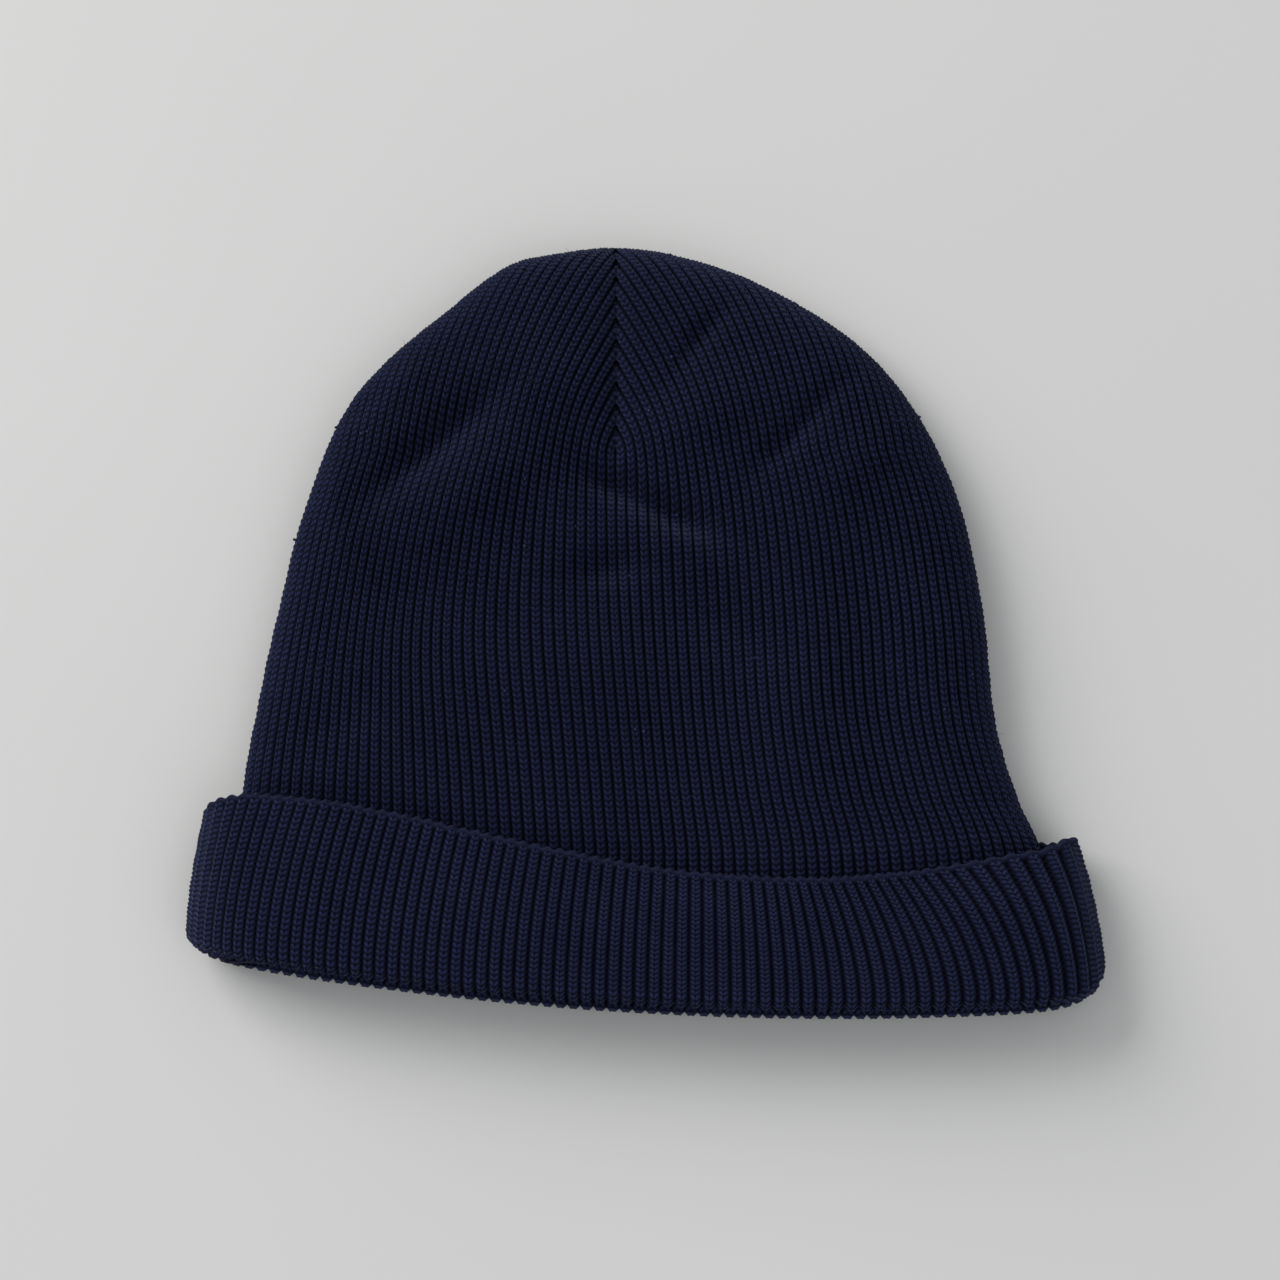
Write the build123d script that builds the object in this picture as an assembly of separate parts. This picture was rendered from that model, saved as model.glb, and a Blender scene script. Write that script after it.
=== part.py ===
from build123d import *
import os

# A cuffed rib-knit beanie lying flat. X runs across it, Y from the fold of the cuff up to the crown,
# and Z up from the surface that it lies on. The origin is under the middle of its bounding box.
# All sizes are in millimetres.

# The knit
KNIT = 2.6                 # one layer of 1x1 rib
CLEARANCE = 0.3            # between the cuff and the layer that it is turned up over

# The whole beanie
HAT_LENGTH = 208.0         # lowest point of the fold to the top of the crown
CUFF_WIDTH = 250.0         # across the cuff at the fold
BODY_THICKNESS = 22.0      # height of the lying body
CUFF_RISE = 2.0            # how much higher the lying cuff stands

# The body's outline: how far each point stands below the crown, and to the left or right of the seam.
# The widths are shares of the cuff's, so the body narrows and widens with it.
SEAM_X = -0.032 * CUFF_WIDTH  # the front and back seams are left of the middle of the cuff
CROWN_DROP = 9.0
CROWN_LEFT = 0.148 * CUFF_WIDTH
CROWN_RIGHT = 0.136 * CUFF_WIDTH
SHOULDER_DROP = 38.0
SHOULDER_LEFT = 0.284 * CUFF_WIDTH
SHOULDER_RIGHT = 0.308 * CUFF_WIDTH
WAIST_DROP = 95.0
WAIST_LEFT = 0.364 * CUFF_WIDTH
WAIST_RIGHT = 0.394 * CUFF_WIDTH
SKIRT_RISE = 13.0          # the skirt, which the cuff hides, is widest this far above the fold
SKIRT_SLACK = 4.5          # and stays this far from each side of the cuff's narrowest part

# The cuff
CUFF_SIDE = 42.0           # height of the band at its left side
EDGE_SEAM_SAG = 16.5       # how far its top edge sags in front of the seam
EDGE_SAG = 22.0            # and where it is lowest
EDGE_LOW_X = 0.2 * CUFF_WIDTH
EDGE_RIGHT_SAG = 12.0      # how much lower it is on the right than on the left
CUFF_TAPER = 4.0           # how far each side leans in over that height
FOLD_SLOPE = 14.0          # how much higher the fold stands at the left end
FOLD_BELLY = 5.0           # how far it bellies out below the straight line between its ends
EDGE_COURSE = 1.6          # height of the cast-on edge

# The crown's seams
DART_LENGTH = 56.0         # how far the darts reach down from the crown
SEAM_ALLOWANCE = 4.0       # how far the sewn edges stand into the hat
SEAM_WIDTH = 3.0           # the two sewn edges together
THREAD = 0.8               # thickness of the overlock thread
STITCH_PITCH = 4.0         # from one stitch to the next
STITCH_FREE = 14.0         # no stitch stands this close to the top
TACK = 5.0                 # side of the tack at the top

ROUND_SPARE = 0.4          # what a rounded side keeps of its flat, above and below its middle
BEYOND = 60.0              # how far a cutting shape runs past the solid

crown_y = HAT_LENGTH / 2
fold_y = -HAT_LENGTH / 2
half_width = CUFF_WIDTH / 2
left_fold_y = fold_y + FOLD_SLOPE
left_edge_y = left_fold_y + CUFF_SIDE
ledge_y = left_edge_y + CLEARANCE
cuff_thickness = BODY_THICKNESS + CUFF_RISE
skirt_low = KNIT + CLEARANCE
skirt_high = cuff_thickness - skirt_low
skirt_half = half_width - CUFF_TAPER - KNIT - SKIRT_SLACK
body_mid = BODY_THICKNESS / 2
dart_y = crown_y - DART_LENGTH


def outline(inset):
    """The curve round the lying body, carried on below the fold and moved in by inset."""
    points = [
        (-skirt_half, fold_y - BEYOND),
        (-skirt_half, fold_y + SKIRT_RISE),
        (SEAM_X - WAIST_LEFT, crown_y - WAIST_DROP),
        (SEAM_X - SHOULDER_LEFT, crown_y - SHOULDER_DROP),
        (SEAM_X - CROWN_LEFT, crown_y - CROWN_DROP),
        (SEAM_X, crown_y),
        (SEAM_X + CROWN_RIGHT, crown_y - CROWN_DROP),
        (SEAM_X + SHOULDER_RIGHT, crown_y - SHOULDER_DROP),
        (SEAM_X + WAIST_RIGHT, crown_y - WAIST_DROP),
        (skirt_half, fold_y + SKIRT_RISE),
        (skirt_half, fold_y - BEYOND),
    ]
    curve = Spline(*points)
    inward = [curve.tangent_at(Vector(*point)).rotate(Axis.Z, -90) for point in points]
    return Spline(*[Vector(*point) + inset * way for point, way in zip(points, inward)])


def silhouette(inset):
    """The plan of the lying body, moved in by inset."""
    curve = outline(inset)
    return make_face([curve, Line(curve @ 1, curve @ 0)])


def above(y):
    """All that lies above a level of Y, as a plan."""
    size = 3 * HAT_LENGTH
    return Pos(0, y + size / 2) * Rectangle(2 * CUFF_WIDTH, size)


def closed_at(curve, y):
    """The plan between a curve across the hat, run on level past both its sides, and a level of Y."""
    start = curve @ 0
    end = curve @ 1
    left = start.X - BEYOND
    right = end.X + BEYOND
    sides = Polyline(end, (right, end.Y), (right, y), (left, y), (left, start.Y), start)
    return make_face([curve, sides])


def above_fold(shift):
    """All that lies above the fold, moved up by shift, as a plan."""
    curve = Spline(
        (-half_width, left_fold_y + shift),
        (0, (left_fold_y + fold_y) / 2 - FOLD_BELLY + shift),
        (half_width, fold_y + shift),
        tangents=[(half_width, -FOLD_SLOPE), (half_width, 0)],
    )
    return closed_at(curve, crown_y + BEYOND)


def below_edge(shift):
    """All that lies below the cuff's top edge, moved down by shift, as a plan."""
    top = left_edge_y - shift
    curve = Spline(
        (-half_width, top),
        (SEAM_X, top - EDGE_SEAM_SAG),
        (EDGE_LOW_X, top - EDGE_SAG),
        (half_width, top - EDGE_RIGHT_SAG),
        tangents=[(half_width, 0), (half_width, EDGE_SAG)],
    )
    return closed_at(curve, fold_y - BEYOND)


def slab(plan, low, high):
    """A plan given its thickness, from one height to another."""
    return extrude(Pos(0, 0, low) * plan, high - low)


def rounded(plan, low, high):
    """A slab with its long sides rounded over, as the sides of a lying tube are."""
    solid = slab(plan, low, high)
    sides = []
    for edge in solid.edges():
        size = edge.bounding_box().size
        if size.Y > size.X / 3 and size.Z < ROUND_SPARE:
            sides.append(edge)
    return fillet(sides, (high - low) / 2 - ROUND_SPARE)


def body_inside(inset):
    """The space inside the body above the cuff, inset from the body's outside."""
    plan = silhouette(inset) & above(ledge_y + KNIT)
    return rounded(plan, inset, BODY_THICKNESS - inset)


def way_in():
    """The space inside the skirt and the fold, where the head goes in."""
    plan = silhouette(KNIT) & (above(fold_y - BEYOND / 2) - above(ledge_y + 2 * KNIT))
    return rounded(plan, skirt_low + KNIT, skirt_high - KNIT)


def make_body():
    """One layer of rib: the rounded body, and the skirt that the cuff hides."""
    outside = rounded(silhouette(0) & above(ledge_y), 0, BODY_THICKNESS)
    skirt_plan = silhouette(0) & above_fold(skirt_low) - above(ledge_y + KNIT)
    skirt = rounded(skirt_plan, skirt_low, skirt_high)
    return outside + skirt - body_inside(KNIT) - way_in()


def cuff_block(inset):
    """The block that the cuff fills, inset from its outside, run on past its top edge."""
    lean = CUFF_TAPER / CUFF_SIDE
    run = CUFF_SIDE + BEYOND
    corners = [
        (-half_width + inset - lean * BEYOND, left_fold_y - BEYOND),
        (-half_width + inset + lean * run, left_fold_y + run),
        (half_width - inset - lean * run, left_fold_y + run),
        (half_width - inset + lean * (BEYOND - FOLD_SLOPE), left_fold_y - BEYOND),
    ]
    plan = make_face(Polyline(*corners, close=True)) & above_fold(inset)
    return rounded(plan, inset, cuff_thickness - inset)


def make_cuff():
    """The turned-up band with the fold at its foot, and the cast-on edge along its top."""
    outside = cuff_block(0)
    foot = [edge for edge in outside.edges() if edge.bounding_box().max.Y < left_fold_y + KNIT]
    outside = fillet(foot, KNIT)
    tube = outside - cuff_block(KNIT) - way_in()
    band = tube & slab(below_edge(EDGE_COURSE), 0, cuff_thickness)
    rim = tube & slab(below_edge(0), 0, cuff_thickness)
    return band, rim - band


def seam_space(depth):
    """The layer of space just inside the body's knit, as deep as a seam allowance or a stitch."""
    return body_inside(KNIT) - body_inside(KNIT + depth)


def between(low, high):
    """The box between two corners."""
    size = Vector(*high) - Vector(*low)
    return Pos(*((Vector(*low) + Vector(*high)) / 2)) * Box(*size)


def seam_strips(width):
    """Where each seam runs, as a strip of the given width: front, back, left and right."""
    wide = CUFF_WIDTH
    half = width / 2
    free = TACK / 2
    front = between((SEAM_X - half, dart_y, body_mid + free), (SEAM_X + half, crown_y, BODY_THICKNESS))
    back = between((SEAM_X - half, dart_y, 0), (SEAM_X + half, crown_y, body_mid - free))
    left = between((-wide, dart_y, body_mid - half), (SEAM_X - free, crown_y, body_mid + half))
    right = between((SEAM_X + free, dart_y, body_mid - half), (wide, crown_y, body_mid + half))
    return {"front": front, "back": back, "left": left, "right": right}


def straight_stations():
    """Where the stitches of the front and back seams stand: a plane across the seam at each."""
    count = int((DART_LENGTH - STITCH_FREE) / STITCH_PITCH)
    return [Pos(SEAM_X, dart_y + STITCH_PITCH * (i + 0.5), body_mid) for i in range(count)]


def curved_stations(side):
    """Where the stitches of a side seam stand: the same, along the curve of the crown."""
    path = outline(KNIT)
    stations = []
    for i in range(int(path.length / STITCH_PITCH)):
        point = path.position_at(i * STITCH_PITCH, PositionMode.LENGTH)
        if point.Y > dart_y + STITCH_PITCH / 2 and side * (point.X - SEAM_X) > STITCH_FREE:
            way = path.tangent_at(i * STITCH_PITCH, PositionMode.LENGTH)
            turn = Vector(0, 1, 0).get_signed_angle(way, Vector(0, 0, 1))
            stations.append(Pos(point.X, point.Y, body_mid) * Rot(0, 0, turn))
    return stations


def make_stitches(strip, allowance, stations, across, height):
    """Overlock stitches: a loop of thread at each station, wrapped round the seam allowance."""
    sheath = seam_space(SEAM_ALLOWANCE + THREAD) & strip
    cuts = [station * Box(across, THREAD, height) for station in stations]
    loops = [sheath & cut for cut in cuts]
    return Compound(children=[(loop - allowance).solid() for loop in loops])


def make_seams():
    """The four sewn seams of the crown: the allowances inside it, their stitches and the tack."""
    pieces = {}
    core = between(
        (SEAM_X - TACK / 2, crown_y - KNIT - TACK, body_mid - TACK / 2),
        (SEAM_X + TACK / 2, crown_y, body_mid + TACK / 2),
    )
    pieces["crown_tack"] = core & body_inside(KNIT)
    space = seam_space(SEAM_ALLOWANCE)
    strips = seam_strips(SEAM_WIDTH)
    wraps = seam_strips(SEAM_WIDTH + 2 * THREAD)
    reach = 2 * (SEAM_ALLOWANCE + KNIT)
    stations = {
        "front": (straight_stations(), reach, BODY_THICKNESS),
        "back": (straight_stations(), reach, BODY_THICKNESS),
        "left": (curved_stations(-1), 2 * reach, reach),
        "right": (curved_stations(1), 2 * reach, reach),
    }
    for side, strip in strips.items():
        allowance = space & strip
        pieces[f"dart_seam_{side}"] = allowance
        pieces[f"dart_thread_{side}"] = make_stitches(wraps[side], allowance, *stations[side])
    return pieces


cuff_knit, cuff_edge = make_cuff()
parts = {"body_knit": make_body(), "cuff_knit": cuff_knit, "cuff_edge": cuff_edge, **make_seams()}

os.makedirs("parts", exist_ok=True)
for name, shape in parts.items():
    export_step(shape, f"parts/{name}.step")
    print(name, round(shape.volume), len(shape.solids()), shape.bounding_box())
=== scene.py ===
import math
import bmesh
import bpy
import numpy as np
from mathutils import Matrix, Vector


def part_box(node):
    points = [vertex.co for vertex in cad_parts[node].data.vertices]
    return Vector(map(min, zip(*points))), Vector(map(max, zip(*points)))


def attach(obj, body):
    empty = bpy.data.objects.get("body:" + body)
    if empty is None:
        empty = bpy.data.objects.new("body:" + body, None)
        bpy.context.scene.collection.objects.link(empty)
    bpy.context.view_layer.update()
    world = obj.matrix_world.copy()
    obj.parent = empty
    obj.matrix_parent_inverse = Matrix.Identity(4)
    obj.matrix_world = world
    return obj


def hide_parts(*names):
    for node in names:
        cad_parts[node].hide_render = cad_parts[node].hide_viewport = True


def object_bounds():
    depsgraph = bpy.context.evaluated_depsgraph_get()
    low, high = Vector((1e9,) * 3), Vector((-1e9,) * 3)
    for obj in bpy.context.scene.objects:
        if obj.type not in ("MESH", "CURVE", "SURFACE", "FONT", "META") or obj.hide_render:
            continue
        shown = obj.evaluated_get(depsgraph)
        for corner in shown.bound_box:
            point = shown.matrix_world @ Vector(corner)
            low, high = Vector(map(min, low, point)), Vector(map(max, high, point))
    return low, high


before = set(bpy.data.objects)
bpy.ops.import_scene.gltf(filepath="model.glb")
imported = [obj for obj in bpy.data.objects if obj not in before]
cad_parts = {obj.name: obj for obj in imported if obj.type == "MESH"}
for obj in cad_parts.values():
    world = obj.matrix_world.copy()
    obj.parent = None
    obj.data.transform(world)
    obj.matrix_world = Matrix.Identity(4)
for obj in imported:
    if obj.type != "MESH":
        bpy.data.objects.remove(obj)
cad_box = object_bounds()

# The table, the camera and the light.
# A pale matt table top that has gone slightly grey, seen from almost straight above. One wide soft
# window light stands beyond the crown on the left, and a weak lamp fills in from the room.
MM = 0.001
hat_low, hat_high = cad_box
hat_middle = (Vector(hat_low) + Vector(hat_high)) / 2
TABLE_SIZE = 3.0                # half its side, in metres
CAMERA_AWAY = 1.25              # from the hat, in metres
CAMERA_TILT = math.radians(78)
CAMERA_WIDTH = 0.348            # of the view at the hat, in metres
SENSOR = 36                     # millimetres
CAMERA_AIM = hat_middle + Vector((-0.0016, -0.0030, -0.0005))


class Wire:
    """A value that varies over a material's surface. Arithmetic on it adds Math nodes."""

    def __init__(self, tree, socket=None):
        self.tree = tree
        self.socket = socket

    def add(self, kind, settings=None, sockets=None, out=0):
        """A node of a kind, with its settings and then its sockets' values or links."""
        node = self.tree.nodes.new(kind)
        for name, value in (settings or {}).items():
            setattr(node, name, value)
        for name, value in (sockets or {}).items():
            if isinstance(value, Wire):
                self.tree.links.new(value.socket, node.inputs[name])
            else:
                node.inputs[name].default_value = value
        return Wire(self.tree, node.outputs[out])

    def output(self, number):
        """Another output of the node that this value comes from."""
        return Wire(self.tree, self.socket.node.outputs[number])

    def feed(self, shader, name):
        """Leads this value into one of a shader's sockets."""
        self.tree.links.new(self.socket, shader.inputs[name])

    def maths(self, operation, first, second=0.0):
        return self.add("ShaderNodeMath", {"operation": operation}, {0: first, 1: second})

    def __add__(self, other):
        return self.maths("ADD", self, other)

    __radd__ = __add__

    def __sub__(self, other):
        return self.maths("SUBTRACT", self, other)

    def __rsub__(self, other):
        return self.maths("SUBTRACT", other, self)

    def __mul__(self, other):
        return self.maths("MULTIPLY", self, other)

    __rmul__ = __mul__

    def fraction(self):
        return self.maths("FRACT", self)

    def size(self):
        return self.maths("ABSOLUTE", self)

    def wave(self):
        """From 0 to 1 and back, once for each whole number."""
        return 0.5 - 0.5 * self.maths("COSINE", self * (2 * math.pi))

    def blend(self, low, high):
        """A colour that goes from low to high as this value goes from 0 to 1. The node's colour
        sockets are 6 and 7, and its colour output is 2."""
        settings = {"data_type": "RGBA"}
        return self.add("ShaderNodeMix", settings, {0: self, 6: low, 7: high}, out=2)

    def bump(self, strength, distance):
        """The normals of a surface with this value for its height."""
        sockets = {"Strength": strength, "Distance": distance, "Height": self}
        return self.add("ShaderNodeBump", None, sockets)

    def object_place(self):
        """Where each point of the surface is, in the object's own frame."""
        return self.add("ShaderNodeTexCoord", out=3)

    def noise(self, place, scale, detail=3.0, rough=0.5):
        settings = {"noise_dimensions": "3D"}
        sockets = {"Vector": place, "Scale": scale, "Detail": detail, "Roughness": rough}
        return self.add("ShaderNodeTexNoise", settings, sockets)


def new_material(name):
    """An empty material's wire and its Principled shader."""
    material = bpy.data.materials.new(name)
    material.use_nodes = True
    shader = next(n for n in material.node_tree.nodes if n.type == "BSDF_PRINCIPLED")
    return material, Wire(material.node_tree), shader


def mesh_from(name, bm):
    """A mesh with what the bmesh holds, which is then freed."""
    mesh = bpy.data.meshes.new(name)
    bm.to_mesh(mesh)
    bm.free()
    return mesh


def in_scene(name, data):
    """A new object in the scene with this mesh, lamp or camera."""
    made = bpy.data.objects.new(name, data)
    bpy.context.scene.collection.objects.link(made)
    return made


def table_material():
    material, wire, shader = new_material("table_paint")
    place = wire.object_place()
    cloud = wire.noise(place, 2.5, 4.0)
    grain = wire.noise(place, 900.0, 2.0)
    colour = cloud.blend((0.56, 0.56, 0.55, 1), (0.61, 0.61, 0.60, 1))
    colour.feed(shader, "Base Color")
    grain.bump(0.05, 0.0002).feed(shader, "Normal")
    shader.inputs["Roughness"].default_value = 0.55
    return material


bm = bmesh.new()
bmesh.ops.create_grid(bm, x_segments=1, y_segments=1, size=TABLE_SIZE)
table = in_scene("table", mesh_from("table", bm))
table.data.materials.append(table_material())

camera_data = bpy.data.cameras.new("camera")
camera_data.sensor_width = SENSOR
camera_data.lens = SENSOR * CAMERA_AWAY / CAMERA_WIDTH
camera = in_scene("camera", camera_data)
away = Vector((0, -math.cos(CAMERA_TILT), math.sin(CAMERA_TILT)))
camera.location = CAMERA_AIM + away * CAMERA_AWAY
camera.rotation_euler = away.to_track_quat("Z", "Y").to_euler()
bpy.context.scene.camera = camera


def soft_light(name, place, size, watts, colour):
    """A square lamp that faces the middle of the hat."""
    lamp = bpy.data.lights.new(name, "AREA")
    lamp.size = size
    lamp.energy = watts
    lamp.color = colour
    lamp_object = in_scene(name, lamp)
    lamp_object.location = place
    lamp_object.rotation_euler = (Vector(place) - hat_middle).to_track_quat("Z", "Y").to_euler()


soft_light("window", (-2.1, 1.6, 1.6), 2.2, 92, (1.0, 0.99, 0.97))
soft_light("room", (0.9, -1.2, 1.6), 1.6, 5, (0.95, 0.97, 1.0))
world = bpy.data.worlds.new("room_light")
bpy.context.scene.world = world
world.use_nodes = True
sky = world.node_tree.nodes["Background"]
sky.inputs["Color"].default_value = (0.86, 0.88, 0.9, 1)
sky.inputs["Strength"].default_value = 0.64
bpy.context.scene.view_settings.view_transform = "Standard"

# The knit of the body, from the turn-up to the crown: one layer of 1x1 rib in a fine acrylic or
# wool yarn, knitted as a tube of 144 ribs. The crown's four darts are cut and sewn, so the tube is
# made as four panels, which meet in a purl rib at each side and down the front and back.
# From here on, sizes and places are in millimetres until a mesh is made.


def cad_corners(node):
    """The lowest and the highest corner of a CAD node, in millimetres."""
    return [[round(value / MM, 1) for value in corner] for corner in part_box(node)]


_, body_high = cad_corners("body_knit")
cuff_low, cuff_high = cad_corners("cuff_knit")
seam_low, seam_high = cad_corners("dart_seam_front")
KNIT = 2.6                      # one layer of the rib, through its crests
SHEET_DEPTH = KNIT - 0.5        # from the middle of the relief to the sheet's back
RIB = 2.8                       # from one knit rib to the next
COURSE = 1.6                    # height of a row of stitches
COURSE_STEPS = 3                # of the grid in each course
SIDE_RIBS = 36                  # from the middle to a side fold
CREST = 0.6                     # room left for the ribs' crests under the CAD's height
SEAM_X = (seam_low[0] + seam_high[0]) / 2
DART_FOOT = seam_low[1]
DART_ANGLE = math.radians(27)   # how far each side of a dart turns to meet the other
SEAM_TURN_IN = 1.3              # of the knit that turns in past a seam
SEAM_SINK = 2.4                 # how deep a seam draws the knit in
SEAM_LAP = 0.04                 # of neighbours in the valley that they share
BODY_MIDDLE = body_high[2] / 2
BODY_FOLD = 8.0                 # height of the side folds
BODY_TOP = body_high[2] - CREST
BODY_FOOT = 0.8                 # height of the back sheet over the table
SKIRT_END = cuff_low[1] + 8     # where the body's knit stops inside the turn-up
PANEL_TOP = body_high[1] + 5    # past the crown, so that every dart is cut from whole knit
HIDDEN_Y = -62.0                # the turn-up hides the body below this at rest
DRIFT = 7.0                     # of the middle rib to the right, over the length below
DRIFT_LENGTH = 110.0
ROLL_STEP = 0.05
ROLL_LENGTH = 12.0
ROLL_RISE = 1.3708              # height of a rolled edge for each unit of its ease
EDGE_EASE = 9.0                 # how fast shapes fade in from an outline
SQUEEZE = 0.17                  # share of its height that the body loses under the turn-up
# Places across one rib, and how far the knit stands out at each
RIB_STEPS = (0.0, 0.29, 0.5, 0.71)
STEP_RELIEF = (-1.15, 0.42, 0.10, 0.42)
# The body's outline from above, from its left foot over the crown to its right foot
BODY_SIDE = [
    (-113, -97), (-109, -48), (-104.4, -18), (-99.2, 8), (-93.6, 32), (-83.8, 59), (-72, 75),
    (-56, 89), (-39, 102.5), (-26, 106.4), (-8, 108.4), (11, 105.4), (33, 97.2), (58, 81), (75.2, 60),
    (86.3, 34), (92, 4), (94.6, -25), (100.6, -47), (107.5, -64), (113, -97),
]
# Swellings and hollows of the front as it lies: height, place, length, width and turn
FRONT_FORMS = [
    (-5.4, -9, 38.5, 9, 4.0, -28), (-5.6, 8, 30, 12, 4.0, -26), (1.1, 0, 22, 16, 5.5, -20),
    (-3.0, -11, 15, 9, 5, 5), (-4.8, -58, 50, 24, 5.5, 40), (3.2, -46, 38, 20, 9, 40),
    (3.4, -28, 68, 13, 16, 70), (2.6, 16, 58, 10, 17, -60), (-2.0, 15, 80, 11, 3.0, 55),
    (-2.6, 42, 55, 17, 3.5, 48), (2.0, 60, 47, 14, 8, 42), (-2.2, -62, 8, 12, 20, 80),
    (1.8, -20, -15, 30, 18, 0), (-2.0, 62, -10, 10, 28, 10), (2.0, 42, -20, 14, 26, 0),
    (-1.5, -78, 62, 9, 4, 30), (1.6, -66, 68, 7, 5, 30), (1.6, -84, 30, 6, 18, 15),
    (-1.6, 20, -2, 26, 9, -12), (-1.4, -84, -28, 7, 14, -60),
]
# Where the cast-on edge runs across the front
CUFF_EDGE = [(-122, -48.5), (-94, -49.3), (-8, -66.8), (50, -71.2), (107, -62.8)]
edge_curve = np.polyfit(*np.transpose(CUFF_EDGE), 4)


def smooth_through(points, steps=10):
    """A smooth line through some points, as many steps from one to the next."""
    points = np.array(points, float)
    padded = np.vstack([2 * points[0] - points[1], points, 2 * points[-1] - points[-2]])
    t = np.arange(steps)[:, None] / steps
    line = []
    for a, b, c, d in zip(padded, padded[1:], padded[2:], padded[3:]):
        bend = (2 * a - 5 * b + 4 * c - d) * t**2 + (3 * b - a - 3 * c + d) * t**3
        line.append((2 * b + (c - a) * t + bend) / 2)
    return np.vstack([*line, points[-1:]])


def rolled_edge(height):
    """How a fold that rises by height runs: distance along the knit, its pull inwards and its rise.
    Its lean dies away along it, which lifts it by ROLL_RISE for each unit of its ease."""
    ease = height / ROLL_RISE
    along = np.arange(0, ROLL_LENGTH * ease, ROLL_STEP)
    lean = math.pi / 2 * np.exp(-along / ease)
    rise = np.cumsum(np.sin(lean)) * ROLL_STEP
    inward = np.cumsum(np.cos(lean)) * ROLL_STEP - along
    return along, inward - inward[-1], rise * height / rise[-1]


def smooth_step(value, start, end):
    """From 0 where the value is start to 1 where it is end."""
    t = np.clip((value - start) / (end - start), 0, 1)
    return t * t * (3 - 2 * t)


side_line = smooth_through(BODY_SIDE)
crown_at = int(np.argmax(side_line[:, 1]))
body_folds = {1: rolled_edge(BODY_TOP - BODY_FOLD), -1: rolled_edge(BODY_FOLD - BODY_FOOT)}


def inside_side_line(x, y):
    """How far each point lies inside the body's outline, and the way inwards from there."""
    start = side_line[:-1]
    step = side_line[1:] - start
    long = np.hypot(*step.T)
    nearest = np.full(x.shape, 1e9)
    signed = np.zeros(x.shape)
    way_x = np.zeros(x.shape)
    way_y = np.zeros(x.shape)
    for (sx, sy), (dx, dy), length in zip(start, step, long):
        t = np.clip(((x - sx) * dx + (y - sy) * dy) / length**2, 0, 1)
        off_x = x - sx - t * dx
        off_y = y - sy - t * dy
        distance = np.hypot(off_x, off_y)
        side = np.sign(off_x * dy - off_y * dx)
        closer = distance < nearest
        nearest = np.where(closer, distance, nearest)
        signed = np.where(closer, side * distance, signed)
        safe = np.where(distance > 1e-6, distance, 1)
        way_x = np.where(closer, np.where(distance > 1e-6, side * off_x / safe, dy / length), way_x)
        way_y = np.where(closer, np.where(distance > 1e-6, side * off_y / safe, -dx / length), way_y)
    return signed, way_x, way_y


def form_height(x, y, forms):
    """How much the swellings and hollows lift each point."""
    lift = np.zeros(x.shape)
    for height, at_x, at_y, length, width, turn in forms:
        c = math.cos(math.radians(turn))
        s = math.sin(math.radians(turn))
        along = (x - at_x) * c + (y - at_y) * s
        across = (y - at_y) * c - (x - at_x) * s
        lift += height * np.exp(-((along / length) ** 2) - (across / width) ** 2)
    return lift


def middle_rib(y):
    """Where the rib below the dart runs: it drifts to the right on its way down."""
    return SEAM_X + DRIFT * np.clip((DART_FOOT - y) / DRIFT_LENGTH, 0, 1) ** 1.5


def inside_ease(deep):
    """From 0 at an outline to 1 well inside it."""
    return 1 - np.exp(-np.clip(deep, 0, None) / EDGE_EASE)


def dart_flow(rib, climb):
    """Where the dart takes each point of the knit, and how far past the seam it lies."""
    across = np.abs(rib) * RIB
    up = climb - DART_FOOT
    reach = np.hypot(across, up)
    limit = math.pi - DART_ANGLE
    angle = np.arctan2(across, -up)
    past = reach * np.sin(np.clip(angle - limit, 0, math.pi / 2))
    reach = reach * np.cos(np.clip(angle - limit, 0, math.pi / 2))
    angle = np.minimum(angle, limit)
    turned = angle + DART_ANGLE * (angle / limit) ** 1.5
    return reach * np.sin(turned), DART_FOOT - reach * np.cos(turned), past


def flat_body(rib, climb, side, face):
    """The plan of a panel of the body before its edges are rolled over."""
    out, y, past = dart_flow(rib, climb)
    edge_out, edge_y, _ = dart_flow(np.full(400, SIDE_RIBS), np.linspace(SKIRT_END - 10, 70, 400))
    fold_pull = body_folds[face][1][0]
    half = side_line[: crown_at + 1] if side < 0 else side_line[:crown_at - 1 : -1]
    slope = np.gradient(half[:, 0], half[:, 1] + 1e-9)
    sheet_x = half[:, 0] + side * fold_pull * np.sqrt(1 + np.clip(slope, -1, 1) ** 2)
    wide = side * (np.interp(edge_y, half[:, 1], sheet_x) - middle_rib(edge_y)) / edge_out
    wide = np.where(edge_y > DART_FOOT, np.interp(DART_FOOT, edge_y, wide), wide)
    x = middle_rib(y) + side * out * np.interp(y, edge_y, wide)
    if face > 0:
        held = 1 - (rib / SIDE_RIBS) ** 4
        x = x - 4 * held * np.exp(-(((x + 50) / 34) ** 2) - (y / 34) ** 2)
    return x, y, past


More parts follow.
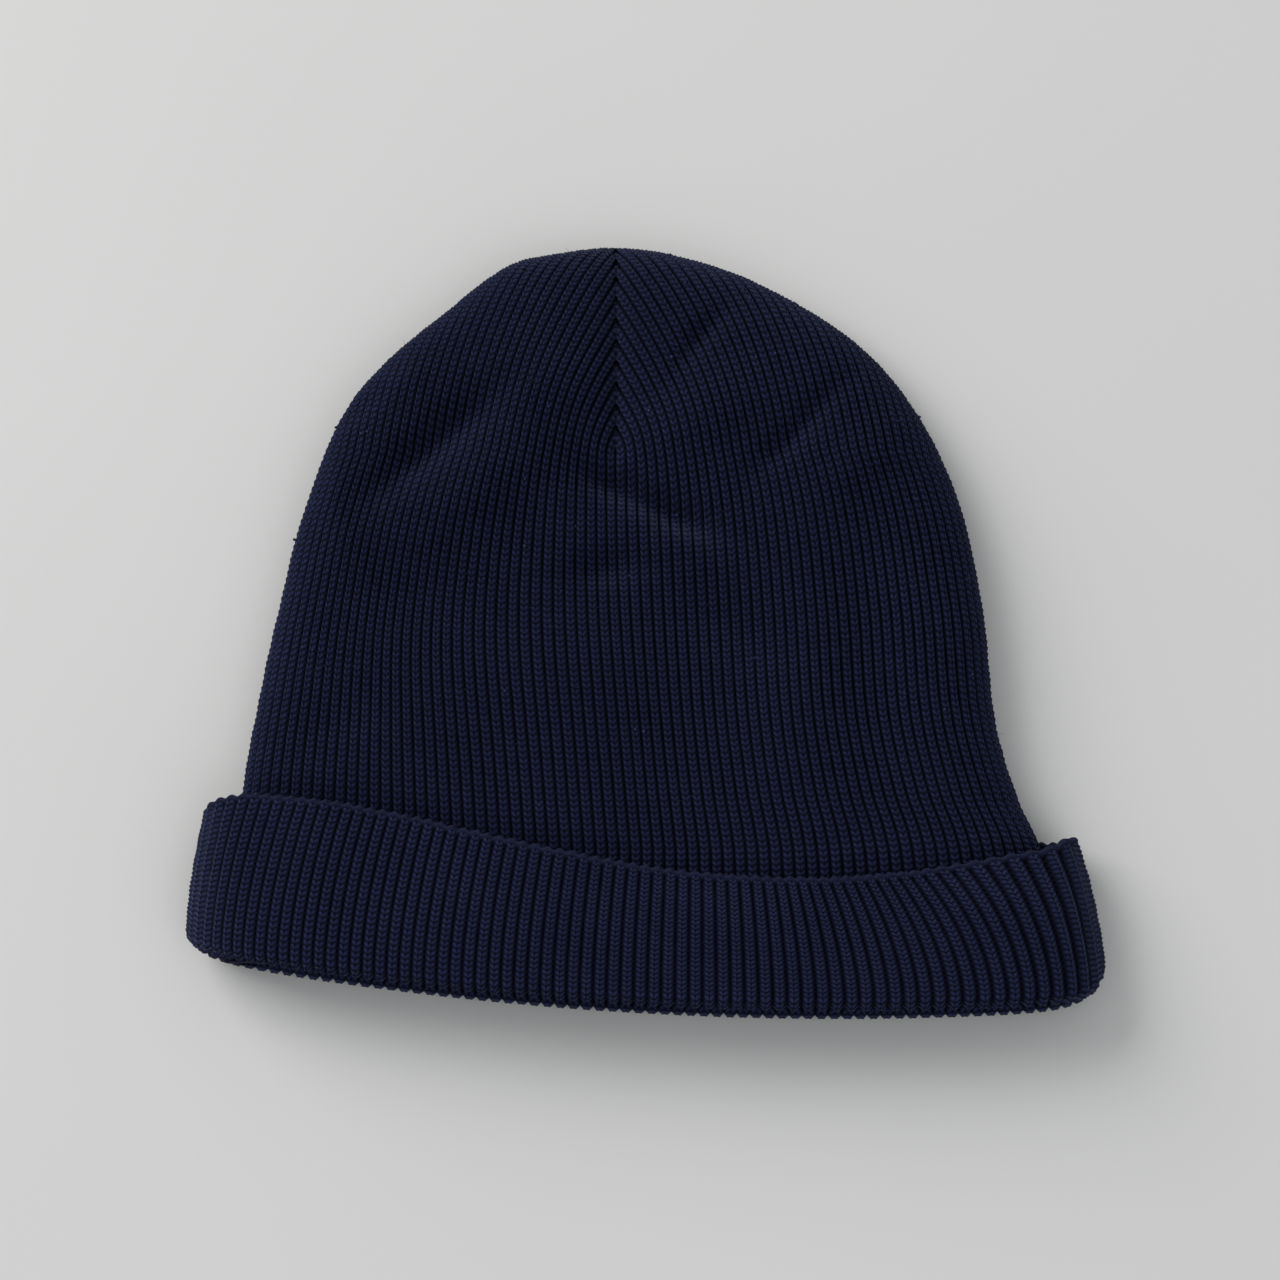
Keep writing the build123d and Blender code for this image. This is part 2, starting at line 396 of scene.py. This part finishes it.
def roll_body(x, y, face):
    """Rolls the plan's edges over, sinks its seam, lays the body down and squeezes it a little where
    the turn-up holds it."""
    deep, way_x, way_y = inside_side_line(x, y)
    along, inward, rise = body_folds[face]
    deep = deep + inward[0]
    pull = np.where(deep > 0, np.interp(deep, along, inward), inward[0] - 2 * deep)
    lift = np.where(deep > 0, np.interp(deep, along, rise), 0.3)
    ease = inside_ease(deep)
    if face > 0:
        lift += form_height(x, y, FRONT_FORMS) * ease
    lift -= SEAM_SINK * ease * np.exp(-np.hypot(x - SEAM_X, np.clip(DART_FOOT - y, 0, None)) / 2.4)
    z = BODY_FOLD + face * lift
    edge_y = np.polyval(edge_curve, np.clip(x, -120, 120))
    squeeze = 1 - SQUEEZE * smooth_step(y, edge_y + 9, edge_y - 1)
    return x + way_x * pull, y + way_y * pull, BODY_MIDDLE + (z - BODY_MIDDLE) * squeeze, deep


def grid_sheet(name, columns, rows, kept=None):
    """A flat grid whose corners stand at whole numbers, with a back one below it and closed rims."""
    bm = bmesh.new()
    place = Matrix.Diagonal((columns, rows, 1, 1)) @ Matrix.Translation((0.5, 0.5, 0))
    bmesh.ops.create_grid(bm, x_segments=columns, y_segments=rows, size=0.5, matrix=place)
    if kept is not None:
        spare = [v for v in bm.verts if not kept[round(v.co.y), round(v.co.x)]]
        bmesh.ops.delete(bm, geom=spare, context="VERTS")
        loose = [v for v in bm.verts if not v.link_faces]
        bmesh.ops.delete(bm, geom=loose, context="VERTS")
    back = bmesh.ops.extrude_face_region(bm, geom=bm.faces[:], use_keep_orig=True)["geom"]
    moved = [v for v in back if isinstance(v, bmesh.types.BMVert)]
    bmesh.ops.translate(bm, verts=moved, vec=(0, 0, -1))
    bmesh.ops.recalc_face_normals(bm, faces=bm.faces[:])
    return mesh_from(name, bm)


def knit_piece(name, ribs, courses, outside, inside, kept, material, join=None):
    """A sheet laid over two grids of points, with its ribs and courses as its UV map. Shading runs
    on over the column named by join, the foot of a valley that it shares with its neighbour."""
    rows, columns = outside.shape[0] - 1, outside.shape[1] - 1
    mesh = grid_sheet(name, columns, rows, kept)
    flat = np.empty(len(mesh.vertices) * 3)
    mesh.vertices.foreach_get("co", flat)
    flat = np.rint(flat.reshape(-1, 3)).astype(int)
    row, column, layer = flat[:, 1], flat[:, 0], flat[:, 2]
    placed = np.where(layer[:, None] == 0, outside[row, column], inside[row, column])
    mesh.vertices.foreach_set("co", (placed * MM).ravel())
    corner = np.empty(len(mesh.loops), int)
    mesh.loops.foreach_get("vertex_index", corner)
    uv = np.stack([ribs[row, column][corner], courses[row, column][corner]], axis=1)
    mesh.uv_layers.new(name="knit").uv.foreach_set("vector", uv.ravel())
    corner_layers = layer[corner].reshape(-1, 4)
    mesh.polygons.foreach_set("use_smooth", corner_layers.min(axis=1) == corner_layers.max(axis=1))
    mesh.update()
    if join is not None:
        shared = (layer == 0) & (column == join % (columns + 1))
        level = np.zeros((len(mesh.vertices), 3))
        level[shared, 2] = np.sign(outside[0, join, 2] - inside[0, join, 2])
        mesh.normals_split_custom_set_from_vertices(level)
    mesh.materials.append(material)
    return in_scene(name, mesh)


def outward(points, flip):
    """The way out of a grid of points, at each of them."""
    down = np.gradient(points, axis=0)
    along = np.gradient(points, axis=1)
    normal = np.cross(along, down) * flip
    return normal / np.maximum(np.linalg.norm(normal, axis=2, keepdims=True), 1e-9)


def uneven(ribs, courses, seed):
    """A slow unevenness of the hand of the knit, from -1 to 1."""
    waves = np.random.default_rng(seed)
    total = np.zeros(ribs.shape)
    for size in (3.0, 5.0, 9.0, 17.0):
        turn, start = waves.uniform(0, 2 * math.pi, 2)
        total += np.sin((ribs * math.cos(turn) + courses * math.sin(turn)) * 2 * math.pi / size + start)
    return total / 4


def rib_relief(ribs, courses, depth=1.0):
    """How far each point of the knit stands out: knit ribs, purl valleys and the legs of stitches."""
    within = ribs - np.floor(ribs)
    across = np.interp(within, [*RIB_STEPS, 1.0], [*STEP_RELIEF, STEP_RELIEF[0]])
    off_middle = np.abs(within - 0.5)
    bead = np.cos(2 * math.pi * (courses - 1.2 * off_middle)) * np.clip(1.6 - 3.2 * off_middle, 0, 1)
    bar = np.cos(2 * math.pi * courses) * (off_middle > 0.4)
    loose = 1 + 0.35 * uneven(ribs, courses, 3)
    return depth * (across * loose + 0.2 * bead + 0.16 * bar)


def rib_columns(first, last):
    """The ribs' places, with a few steps across each."""
    whole = np.arange(first, last)[:, None] + np.array(RIB_STEPS)[None, :]
    return np.append(whole.ravel(), last)


def knit_material(name, dark, light, valley):
    """Ribbed knit in a matt yarn: the legs of its stitches, its plies and its loose fibres. Its colour holds
    painted shade: it goes to the near-black valley colour in the purl valleys and darkens between the legs
    of the stitches.
    """
    material, wire, shader = new_material(name)
    uv = wire.add("ShaderNodeUVMap", {"uv_map": "knit"})
    u = wire.add("ShaderNodeSeparateXYZ", None, {0: uv})
    v = u.output(1)
    place = wire.object_place()
    off_middle = (u.fraction() - 0.5).size()
    smooth = {"interpolation_type": "SMOOTHSTEP"}
    in_rib = {"Value": off_middle, "From Min": 0.46, "From Max": 0.26}
    in_leg = {"Value": off_middle, "From Min": 0.02, "From Max": 0.13}
    rib = wire.add("ShaderNodeMapRange", smooth, in_rib)
    middle = wire.add("ShaderNodeMapRange", smooth, in_leg)
    leg_place = v - off_middle * 1.2
    leg = leg_place.wave()
    ply = (leg_place * 3.0 + off_middle * 9.0).wave()
    bar = v.wave() * (1 - rib)
    fibre = wire.noise(place, 2600.0, 3.0, 0.7)
    speck = wire.noise(uv, 4.2, 2.0, 0.6)
    patch = wire.noise(place, 26.0, 4.0)
    row = wire.noise(uv, 0.7, 3.0, 0.6)
    height = rib * (leg * 0.7 + ply * 0.15 + middle * 0.35) + bar * 0.25 + fibre * 0.4
    height.bump(0.9, 0.0006).feed(shader, "Normal")
    mottle = patch * 0.35 + row * 0.35 + speck * 0.9 + fibre * 0.3 - 0.42
    yarn = mottle.blend(dark, light)
    # Painted shade: this mask, and with it the colour, falls towards the near-black valley colour in the
    # purl valleys, in the gaps from one stitch's legs to the next and along the dip down each rib's middle.
    depth = rib * (0.22 + 0.78 * leg) * (0.5 + 0.5 * middle) + bar * 0.16
    colour = depth.blend(valley, yarn)
    colour.feed(shader, "Base Color")
    rough = 0.86 + 0.12 * fibre
    rough.feed(shader, "Roughness")
    shader.inputs["Specular IOR Level"].default_value = 0.05
    shader.inputs["Sheen Weight"].default_value = 0.13
    shader.inputs["Sheen Roughness"].default_value = 0.32
    shader.inputs["Sheen Tint"].default_value = (0.55, 0.62, 0.95, 1)
    return material


body_yarn = knit_material(
    "navy_rib_knit",
    dark=(0.0024, 0.0032, 0.0140, 1),
    light=(0.028, 0.035, 0.096, 1),
    # valley: the near-black painted shade of the purl valleys and the gaps between stitch legs
    valley=(0.0003, 0.0003, 0.0010, 1),
)


def body_panel(name, side, face):
    """A quarter of the body, cut off just past its seams. Courses that the turn-up hides are plain.
    Gives the points of its outside that show, and the way out at each."""
    ribs = rib_columns(0, SIDE_RIBS) if side > 0 else -rib_columns(0, SIDE_RIBS)[::-1]
    hidden = int((HIDDEN_Y - SKIRT_END) / COURSE)
    open_courses = int((PANEL_TOP - HIDDEN_Y) / COURSE)
    fine = hidden + np.arange(open_courses * COURSE_STEPS + 1) / COURSE_STEPS
    courses = np.concatenate([np.arange(hidden), fine])
    rib, course = np.meshgrid(ribs, courses)
    climb = SKIRT_END + course * COURSE
    x, y, past = flat_body(rib, climb, side, face)
    px, py, z, deep = roll_body(x, y, face)
    base = np.stack([px, py, z - face * past], axis=2)
    way = outward(base, face)
    middle = 0 if side > 0 else -1
    way[:, middle] = (0, 0, face)
    relief = rib_relief(rib, course, 1.0 if face > 0 else 0.7)[..., None]
    kept = (past < SEAM_TURN_IN) & (deep > -SEAM_TURN_IN)
    skin = base + way * relief
    skin[:, middle, 0] -= side * SEAM_LAP
    inner = base - way * SHEET_DEPTH
    panel = knit_piece(name, rib, course, skin, inner, kept, body_yarn, join=middle)
    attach(panel, "hat")
    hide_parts("body_knit")
    cut = kept * np.gradient(courses)[:, None] * np.gradient(ribs)[None, :]
    cut.sum() * RIB * COURSE * MM * MM
    shown = kept & (y > HIDDEN_Y + 10) & (deep > 0)
    return skin[shown], way[shown]


body_skin = [body_panel("body_front_left", -1, 1), body_panel("body_front_right", 1, 1)]
body_panel("body_back_left", -1, -1)
body_panel("body_back_right", 1, -1)

# The turn-up: the foot of the same tube, folded up once on the outside, so that its purl side is out.
# It is a ring of 144 ribs that spreads wider than the body. Each half runs from the cast-on edge down
# the outside, round the fold and a little way up inside the mouth, where the body's knit takes over.
CUFF_HALF = round((cuff_high[0] - cuff_low[0]) / 2) - 2
CUFF_FOLD = 9.0                 # height of the side folds
CUFF_TOP = cuff_high[2] - CREST
CUFF_FOOT = 0.7                 # height of the back sheet over the table
WALL_COURSES = 26               # from the cast-on edge to the fold
TURN_RADIUS = 2.75              # of the fold at the foot
TURN_COURSES = 5                # round the fold
LIP_COURSES = 6                 # up inside the mouth
NARROW_RIB = 3.0                # pitch of the ribs at the left end, where they are closest
RIB_OPENING = 0.35              # share of a rib by which the valleys open at the right end
LEAN_POWER = 1.6                # how the ribs' lean grows on the way up
FOOT_CURL_LEFT = 4.5
FOOT_CURL_RIGHT = 9.5
FOOT_CURL_EASE = 5.5
TOP_DIP_LEFT = 4.0
TOP_DIP_RIGHT = 1.0
TOP_DIP_EASE = 5.0
PEAK_X = 116
PEAK_WIDTH = 5
PEAK_HEIGHT = 2.2
WALL_BULGE = 0.9                # of the front between its fold and its edge
# How far the ribs lean to the right at places across, and where the fold runs
CUFF_LEAN = [(-129, 4.0), (-95, 7.5), (15, 0), (60, -8), (95, -14.5), (129, -6.4)]
CUFF_FOOT_LINE = [(-125, -88.6), (0, -103.8), (125, -102.5)]
foot_curve = np.polyfit(*np.transpose(CUFF_FOOT_LINE), 2)
lean_line = smooth_through(CUFF_LEAN)
cuff_folds = {1: rolled_edge(CUFF_TOP - CUFF_FOLD), -1: rolled_edge(CUFF_FOLD - CUFF_FOOT)}
CUFF_FORMS = [
    (-0.9, -60, -70, 26, 9, 0), (0.7, 10, -82, 30, 8, 0), (-0.8, 62, -84, 14, 12, 40),
    (0.8, 92, -80, 16, 10, 0), (-0.8, -102, -62, 8, 14, 0),
]


def cuff_plan(rib, up, face):
    """How far across each point is before its side is rolled over, how far in from that side, and
    which side it is. The ribs narrow towards the left of the front, and lean on their way up."""
    half = CUFF_HALF + cuff_folds[face][1][0]
    step = (rib + SIDE_RIBS) / (2 * SIDE_RIBS)
    even = half / (SIDE_RIBS * NARROW_RIB)
    spread = step * (1 + (even - 1) * step) / even if face > 0 else step
    foot_x = half * (2 * spread - 1)
    lean_left, lean_right = lean_line[0, 1], lean_line[-1, 1]
    lean = np.interp(foot_x, *lean_line.T)
    if face < 0:
        lean = np.interp(foot_x, [-half, half], [lean_left, lean_right])
    tilt = up**LEAN_POWER
    sheet_x = foot_x + lean * tilt
    left = -half + lean_left * tilt
    right = half + lean_right * tilt
    side = np.where(sheet_x > (left + right) / 2, 1, -1)
    return sheet_x, np.where(side > 0, right - sheet_x, sheet_x - left), side


def cuff_height(x, deep, side, face):
    """Where the fold and the cast-on edge run at each point: the fold's ends curl up, and the edge's
    ends dip, with one peak at the right."""
    foot_curl = np.where(side > 0, FOOT_CURL_RIGHT, FOOT_CURL_LEFT) * np.exp(-deep / FOOT_CURL_EASE)
    top_dip = np.where(side > 0, TOP_DIP_RIGHT, TOP_DIP_LEFT) * np.exp(-deep / TOP_DIP_EASE)
    top_y = np.polyval(edge_curve, x) - top_dip
    top_y = top_y + PEAK_HEIGHT * np.exp(-(((x - PEAK_X) / PEAK_WIDTH) ** 2))
    if face < 0:
        top_y = np.interp(x, [-CUFF_HALF, CUFF_HALF], [top_y[0, 0], top_y[0, -1]])
    return np.polyval(foot_curve, x) + foot_curl + TURN_RADIUS, top_y


def cuff_point(rib, course, face):
    """Where each point of half of the turn-up lies."""
    along, inward, rise = cuff_folds[face]
    up = np.clip(1 - course / WALL_COURSES, 0, 1)
    sheet_x, deep, side = cuff_plan(rib, up, face)
    x = sheet_x - side * np.interp(deep, along, inward)
    foot_y, top_y = cuff_height(x, deep, side, face)
    turn = np.clip((course - WALL_COURSES) / TURN_COURSES, 0, 1) * math.pi
    lip = np.clip(course - WALL_COURSES - TURN_COURSES, 0, None) * COURSE
    y = foot_y + (top_y - foot_y) * up - TURN_RADIUS * np.sin(turn) + lip
    lift = np.interp(deep, along, rise)
    if face > 0:
        lift += form_height(x, y, CUFF_FORMS) * inside_ease(deep) * np.clip(up * 6, 0, 1)
        lift += WALL_BULGE * np.sin(math.pi * up) * inside_ease(deep)
    inset = TURN_RADIUS * (1 - np.cos(turn))
    lean = math.pi / 2 * np.exp(-deep * ROLL_RISE / rise[-1])
    z = CUFF_FOLD + face * (lift - inset * np.cos(lean))
    return np.stack([x - side * inset * np.sin(lean), y, z], axis=2)


# Painted light: the turn-up's yarn is the body's navy made lighter, standing in for the extra light that the
# turn-up catches. Its valley colour is near-black painted shade, as in the body.
cuff_yarn_painted_lighter = knit_material(
    "navy_rib_knit_painted_lighter",
    dark=(0.0040, 0.0054, 0.0210, 1),
    light=(0.034, 0.043, 0.116, 1),
    valley=(0.0005, 0.0005, 0.0016, 1),
)


def cuff_half(name, face):
    """The front or the back half of the turn-up. The front's purl valleys open towards the right."""
    ribs = rib_columns(-SIDE_RIBS, SIDE_RIBS)
    opened = np.clip((ribs + SIDE_RIBS) / (2 * SIDE_RIBS), 0, 1) * RIB_OPENING * (face > 0)
    within = ribs - np.floor(ribs)
    narrowed = np.where(within > 0, np.floor(ribs) + 0.5 + (within - 0.5) * (1 - opened), ribs)
    last = WALL_COURSES + TURN_COURSES + LIP_COURSES
    rib, course = np.meshgrid(ribs, np.arange(last * COURSE_STEPS + 1) / COURSE_STEPS)
    base = cuff_point(np.broadcast_to(narrowed, rib.shape), course, face)
    way = outward(base, -face)
    relief = rib_relief(rib, -course, 1.1 if face > 0 else 0.7)[..., None]
    inner = base - way * SHEET_DEPTH
    piece = knit_piece(name, rib, -course, base + way * relief, inner, None, cuff_yarn_painted_lighter)
    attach(piece, "cuff")
    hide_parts("cuff_knit")


cuff_half("cuff_front", 1)
cuff_half("cuff_back", -1)

# The cast-on edge: the first course of the knit, a chain of stitches all round the top of the turn-up.
# It is a little thicker than the rib below it, and dips into each purl valley.
EDGE_HEIGHT = 2.0
EDGE_THICKNESS = 3.1
EDGE_STEPS = 6


def woven_tube(bm, points):
    """Adds a tube through a grid of points, rows along it and columns round it, joined where they meet."""
    rows, columns = points.shape[0] - 1, points.shape[1] - 1
    place = Matrix.Diagonal((columns, rows, 1, 1)) @ Matrix.Translation((0.5, 0.5, 0))
    made = bmesh.ops.create_grid(bm, x_segments=columns, y_segments=rows, size=0.5, matrix=place)
    for corner in made["verts"]:
        corner.co = Vector(points[round(corner.co.y), round(corner.co.x)]) * MM
    bmesh.ops.remove_doubles(bm, verts=made["verts"], dist=1e-7)


def oval_rings(path, wide, high, width, height, sides=10, square=1.0):
    """Rings round a path: wide and high are the ways across it, width and height the sizes there."""
    angle = np.linspace(0, 2 * math.pi, sides + 1)
    across = np.sign(np.cos(angle)) * np.abs(np.cos(angle)) ** square
    up = np.sign(np.sin(angle)) * np.abs(np.sin(angle)) ** square
    across[-1], up[-1] = across[0], up[0]
    width = np.asarray(width, float).reshape(-1, 1, 1)
    height = np.asarray(height, float).reshape(-1, 1, 1)
    ring = path[:, None] + wide[:, None] * width / 2 * across[None, :, None]
    return ring + high[:, None] * height / 2 * up[None, :, None]


def small_piece(name, bm, material, body, slot, *nodes):
    """Finishes a bmesh as a piece that rides on a body and stands for some nodes."""
    bmesh.ops.recalc_face_normals(bm, faces=bm.faces[:])
    mesh = mesh_from(name, bm)
    mesh.polygons.foreach_set("use_smooth", np.ones(len(mesh.polygons), bool))
    mesh.materials.append(material)
    piece = in_scene(name, mesh)
    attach(piece, body)
    if nodes:
        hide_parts(*nodes)


def thread_material(name, dark, light, twist):
    """A plied yarn or thread: turns of its plies and a matt fuzz."""
    material, wire, shader = new_material(name)
    place = wire.object_place()
    fibre = wire.noise(place, 2400.0, 3.0, 0.7)
    x = wire.add("ShaderNodeSeparateXYZ", None, {0: place})
    turns = ((x + x.output(1) * 0.8 + x.output(2) * 1.3) * twist).wave()
    colour = (turns * 0.6 + fibre * 0.6 - 0.1).blend(dark, light)
    colour.feed(shader, "Base Color")
    height = turns * 0.6 + fibre * 0.6
    height.bump(0.7, 0.0003).feed(shader, "Normal")
    shader.inputs["Roughness"].default_value = 0.9
    shader.inputs["Specular IOR Level"].default_value = 0.12
    return material


def edge_line(face):
    """The rim of half of the turn-up: its places, the way out of it and the way along its ribs."""
    ribs = np.arange(2 * SIDE_RIBS * EDGE_STEPS + 1) / EDGE_STEPS - SIDE_RIBS
    rib, course = np.meshgrid(ribs, np.arange(COURSE_STEPS) / COURSE_STEPS)
    base = cuff_point(rib, course, face)
    way = outward(base, -face)[0]
    up = base[0] - base[1]
    return ribs, base[0], way, up / np.linalg.norm(up, axis=1, keepdims=True)


edge_front = edge_line(1)
edge_back = [part[::-1] for part in edge_line(-1)]
edge_ribs, edge_base, edge_way, edge_up = [np.concatenate([f, b[1:]]) for f, b in zip(edge_front, edge_back)]
edge_way[-1], edge_up[-1], edge_base[-1] = edge_way[0], edge_up[0], edge_base[0]
crest = 0.5 - 0.5 * np.cos(2 * math.pi * edge_ribs)
wobble = 0.25 * uneven(edge_ribs * 1.3, edge_ribs * 0.0, 5)
wobble[-1] = wobble[0]
edge_path = edge_base - edge_way * SHEET_DEPTH / 2 + edge_up * (0.25 + 0.55 * crest + wobble)[:, None]
edge_thick = EDGE_THICKNESS * (0.82 + 0.3 * crest)
edge_high = EDGE_HEIGHT * (0.85 + 0.2 * crest)
bm = bmesh.new()
woven_tube(bm, oval_rings(edge_path, edge_way, edge_up, edge_thick, edge_high))
edge_yarn = thread_material(
    "navy_cast_on_yarn", (0.0022, 0.0026, 0.009, 1), (0.016, 0.020, 0.055, 1), 1400.0
)
small_piece("cast_on_chain", bm, edge_yarn, "cuff", "cast_on_edge", "cuff_edge")

# The crown's four seams, inside the hat: each is two raw edges of the knit sewn together, and they
# meet at the top in a tack of thread. Overlock stitches wrap each pair of edges.
ALLOWANCE = 4.0                 # depth of a seam's edges
ALLOWANCE_WIDTH = 3.0
THREAD_WIDTH = 0.7
STITCH_PITCH = 4.0
STITCH_LEAN = 1.1               # along the seam
SEAM_DEPTH = SEAM_TURN_IN + 0.3 + ALLOWANCE / 2
SEAM_TOP_GAP = 9.0
TACK_GAP = 6.5
TACK_RADIUS = 1.5
TACK_TURNS = 5


def unit(vectors):
    """The same directions, one long."""
    return vectors / np.linalg.norm(vectors, axis=-1, keepdims=True)


def level_seam(face):
    """The path of the front or the back seam's edges, the way across them and the way into the hat."""
    y = np.arange(DART_FOOT + 1, side_line[:, 1].max() - SEAM_TOP_GAP, 1.0)
    x = np.full(y.shape, SEAM_X)
    px, py, z, _ = roll_body(x, y, face)
    path = np.stack([px, py, z - face * SEAM_DEPTH], axis=1)
    ones = np.ones((len(y), 1))
    return path, ones * (1.0, 0, 0), ones * (0, 0, -float(face))


def side_seam(side):
    """The same for a seam along the side of the crown."""
    high = side_line[(side_line[:, 1] > DART_FOOT + 1) & (side * (side_line[:, 0] - SEAM_X) > 6)]
    _, way_x, way_y = inside_side_line(*(high.T + 1e-4))
    inward = unit(np.stack([way_x, way_y, 0 * way_x], axis=1))
    path = np.column_stack([high, np.full(len(high), BODY_FOLD)])
    path = path + inward * SEAM_DEPTH
    return path, np.ones((len(high), 1)) * (0, 0, 1.0), inward


def stitch_loops(bm, path, wide, deep):
    """Loops of thread round a pair of sewn edges, one at each stitch."""
    along = unit(np.gradient(path, axis=0))
    length = np.concatenate([[0], np.cumsum(np.linalg.norm(np.diff(path, axis=0), axis=1))])
    angle = np.linspace(0, 2 * math.pi, 13)
    round_thread = np.linspace(0, 2 * math.pi, 6)
    for station in np.arange(STITCH_PITCH, length[-1] - 2, STITCH_PITCH):
        at = int(np.searchsorted(length, station))
        radial = wide[at] * np.cos(angle)[:, None] + deep[at] * np.sin(angle)[:, None]
        reach = wide[at] * (ALLOWANCE_WIDTH + THREAD_WIDTH) / 2 * np.cos(angle)[:, None]
        reach = reach + deep[at] * (ALLOWANCE + THREAD_WIDTH) / 2 * np.sin(angle)[:, None]
        centre = path[at] + reach + along[at] * STITCH_LEAN * np.sin(angle + 0.6)[:, None]
        centre[-1] = centre[0]
        tube = radial[:, None] * np.cos(round_thread)[None, :, None]
        tube = tube + along[at] * np.sin(round_thread)[None, :, None]
        points = centre[:, None] + tube * THREAD_WIDTH / 2
        points[-1] = points[0]
        points[:, -1] = points[:, 0]
        woven_tube(bm, points)


raw_edge = thread_material("navy_cut_knit", (0.0022, 0.0026, 0.009, 1), (0.014, 0.018, 0.050, 1), 620.0)
thread = thread_material("navy_overlock_thread", (0.006, 0.008, 0.026, 1), (0.030, 0.036, 0.090, 1), 2200.0)
seams = {"front": level_seam(1), "back": level_seam(-1), "left": side_seam(-1), "right": side_seam(1)}
for side, (path, wide, deep) in seams.items():
    from_start = np.arange(len(path))
    closed_ends = np.clip(np.minimum(from_start, from_start[::-1]), 0, 1)
    swell = closed_ends * (1 - 0.1 * np.cos(from_start * 2.1))
    bm = bmesh.new()
    woven_tube(bm, oval_rings(path, wide, deep, ALLOWANCE_WIDTH * swell, ALLOWANCE * swell, 12, 0.6))
    small_piece(f"seam_allowance_{side}", bm, raw_edge, "hat", "seam_allowance", f"dart_seam_{side}")
    bm = bmesh.new()
    stitch_loops(bm, path, wide, deep)
    small_piece(f"overlock_{side}", bm, thread, "hat", "overlock_thread", f"dart_thread_{side}")

bm = bmesh.new()
tack_place = np.array([SEAM_X, side_line[:, 1].max() - TACK_GAP, BODY_FOLD])
for turn in range(TACK_TURNS):
    lean = np.array([math.sin(turn * 1.3), math.cos(turn * 1.3) * 0.6, math.cos(turn * 2.1)])
    first = unit(np.cross(lean, (0.2, 1.0, 0.3)))
    second = unit(np.cross(lean, first))
    angle = np.linspace(0, 2 * math.pi, 17)
    radial = first * np.cos(angle)[:, None] + second * np.sin(angle)[:, None]
    centre = tack_place + radial * (TACK_RADIUS + 0.18 * turn)
    centre[-1], radial[-1] = centre[0], radial[0]
    axis = np.ones((len(angle), 1)) * unit(lean)
    woven_tube(bm, oval_rings(centre, radial, axis, THREAD_WIDTH, THREAD_WIDTH, sides=6))
core = Matrix.Translation(Vector(tack_place) * MM)
bmesh.ops.create_icosphere(bm, subdivisions=2, radius=TACK_RADIUS * MM, matrix=core)
small_piece("crown_tack_knot", bm, thread, "hat", "overlock_thread", "crown_tack")

# Wear: small pills and stray fibres of the same yarn, which stand out most along the hat's outline.
PILLS = 90
PILL_SIZES = (0.22, 0.5)
FIBRES = 420
FIBRE_LENGTHS = (0.8, 2.6)
FIBRE_WIDTHS = np.array([0.09, 0.09, 0.08, 0.06, 0.0])
fuzz_yarn = thread_material("navy_fuzz", (0.006, 0.008, 0.026, 1), (0.040, 0.048, 0.115, 1), 900.0)
chance = np.random.default_rng(11)
skin_points = np.concatenate([part[0] for part in body_skin])
skin_ways = np.concatenate([part[1] for part in body_skin])
bm = bmesh.new()
for at in chance.integers(0, len(skin_points), PILLS):
    size = chance.uniform(*PILL_SIZES)
    place = Matrix.Translation(Vector(skin_points[at] + skin_ways[at] * size * 0.4) * MM)
    bmesh.ops.create_icosphere(bm, subdivisions=1, radius=size * MM, matrix=place)
small_piece("knit_pills", bm, fuzz_yarn, "hat", "rib_knit")
bm = bmesh.new()
for at in chance.integers(0, len(skin_points), FIBRES):
    way = unit(skin_ways[at] * 0.7 + chance.normal(0, 0.6, 3))
    curl = unit(np.cross(way, chance.normal(0, 1, 3)))
    step = np.linspace(0, 1, len(FIBRE_WIDTHS))[:, None]
    long = chance.uniform(*FIBRE_LENGTHS)
    path = skin_points[at] + way * long * (step - 0.1) + curl * long * 0.5 * step**2
    first = np.ones_like(step) * curl
    second = np.ones_like(step) * unit(np.cross(way, curl))
    woven_tube(bm, oval_rings(path, first, second, FIBRE_WIDTHS, FIBRE_WIDTHS, sides=3))
small_piece("stray_fibres", bm, fuzz_yarn, "hat", "rib_knit")
